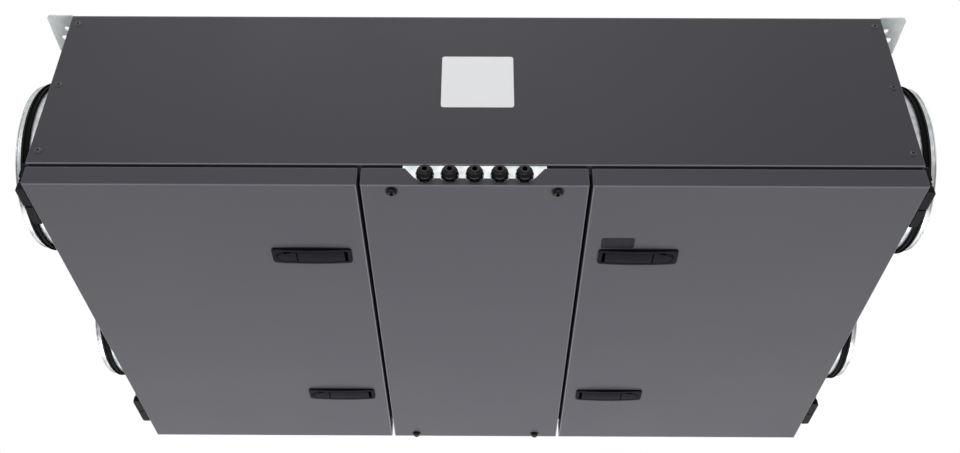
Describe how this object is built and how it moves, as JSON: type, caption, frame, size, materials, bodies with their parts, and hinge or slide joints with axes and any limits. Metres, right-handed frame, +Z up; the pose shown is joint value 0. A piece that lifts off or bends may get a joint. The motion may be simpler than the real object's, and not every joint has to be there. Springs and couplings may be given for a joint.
{
  "type": "air handling unit",
  "caption": "Flat ceiling-hung air handling unit with round duct spigots at both ends, drop-down service doors on hinges, paddle latches, cable glands and hanger brackets",
  "frame": {"origin": "middle of the four hanger slots, on the ceiling plane that the brackets' upper faces touch", "axes": "X along the unit between its duct ends, Y from the front with the cable glands to the rear, Z up"},
  "size_m": [1.316, 0.7745, 0.3272],
  "materials": {
    "casing_paint": "fine satin powder coat, dark grey",
    "door_paint": "fine satin powder coat, grey",
    "zinc": "galvanised sheet",
    "bracket_zinc": "zinc-plated sheet",
    "core": "thin aluminium plates",
    "lining": "closed-cell foam",
    "filter_frame": "card frame",
    "filter_media": "pleated fleece",
    "seal_rubber": "matt rubber",
    "black_plastic": "grained plastic",
    "latch_plastic": "fine-grained plastic",
    "black_screw": "black zinc"
  },
  "bodies": {
    "casing": {"top_panel": "casing_paint", "front_panel": "casing_paint", "rear_panel": "casing_paint", "left_end_panel": "casing_paint", "right_end_panel": "casing_paint", "top_lining": "lining", "front_lining": "lining", "rear_lining": "lining", "left_end_lining": "lining", "right_end_lining": "lining", "cross_rails": "zinc", "air_dividers": "lining", "heat_exchanger": "core", "control_box": "zinc", "filter_frames": "filter_frame", "filter_media": "filter_media", "fan_plates": "zinc", "fan_wheels": "black_plastic", "centre_panel": "door_paint", "panel_seal": "seal_rubber", "panel_spacers": "zinc", "panel_screws": "black_screw", "gland_plate": "zinc", "cable_glands": "black_plastic", "spigot_front_left": "zinc", "spigot_rear_left": "zinc", "spigot_front_right": "zinc", "spigot_rear_right": "zinc", "spigot_gaskets": "seal_rubber", "left_brackets": "bracket_zinc", "right_brackets": "bracket_zinc", "casing_hinge_leaves": "black_plastic"},
    "left_door_body": {"left_door": "door_paint", "left_door_lining": "lining", "left_door_seal": "seal_rubber", "left_hinge_leaves": "black_plastic", "left_latches": "latch_plastic"},
    "right_door_body": {"right_door": "door_paint", "right_door_lining": "lining", "right_door_seal": "seal_rubber", "right_hinge_leaves": "black_plastic", "right_latches": "latch_plastic"},
    "front_left_lever": {"lever_front_left": "latch_plastic"},
    "rear_left_lever": {"lever_rear_left": "latch_plastic"},
    "front_right_lever": {"lever_front_right": "latch_plastic"},
    "rear_right_lever": {"lever_rear_right": "latch_plastic"}
  },
  "joints": [
    {"name": "left_door_hinge", "type": "hinge", "parent": "casing", "child": "left_door_body", "pos_m": [-0.604, 0, -0.306], "axis": [0, 1, 0], "range_deg": [0, 90]},
    {"name": "right_door_hinge", "type": "hinge", "parent": "casing", "child": "right_door_body", "pos_m": [0.604, 0, -0.306], "axis": [0, -1, 0], "range_deg": [0, 90]},
    {"name": "front_left_lever_pivot", "type": "hinge", "parent": "left_door_body", "child": "front_left_lever", "pos_m": [-0.252, -0.219, -0.32256], "axis": [0, 1, 0], "range_deg": [0, 80]},
    {"name": "rear_left_lever_pivot", "type": "hinge", "parent": "left_door_body", "child": "rear_left_lever", "pos_m": [-0.252, 0.207, -0.32256], "axis": [0, 1, 0], "range_deg": [0, 80]},
    {"name": "front_right_lever_pivot", "type": "hinge", "parent": "right_door_body", "child": "front_right_lever", "pos_m": [0.252, -0.219, -0.32256], "axis": [0, -1, 0], "range_deg": [0, 80]},
    {"name": "rear_right_lever_pivot", "type": "hinge", "parent": "right_door_body", "child": "rear_right_lever", "pos_m": [0.252, 0.207, -0.32256], "axis": [0, -1, 0], "range_deg": [0, 80]}
  ]
}
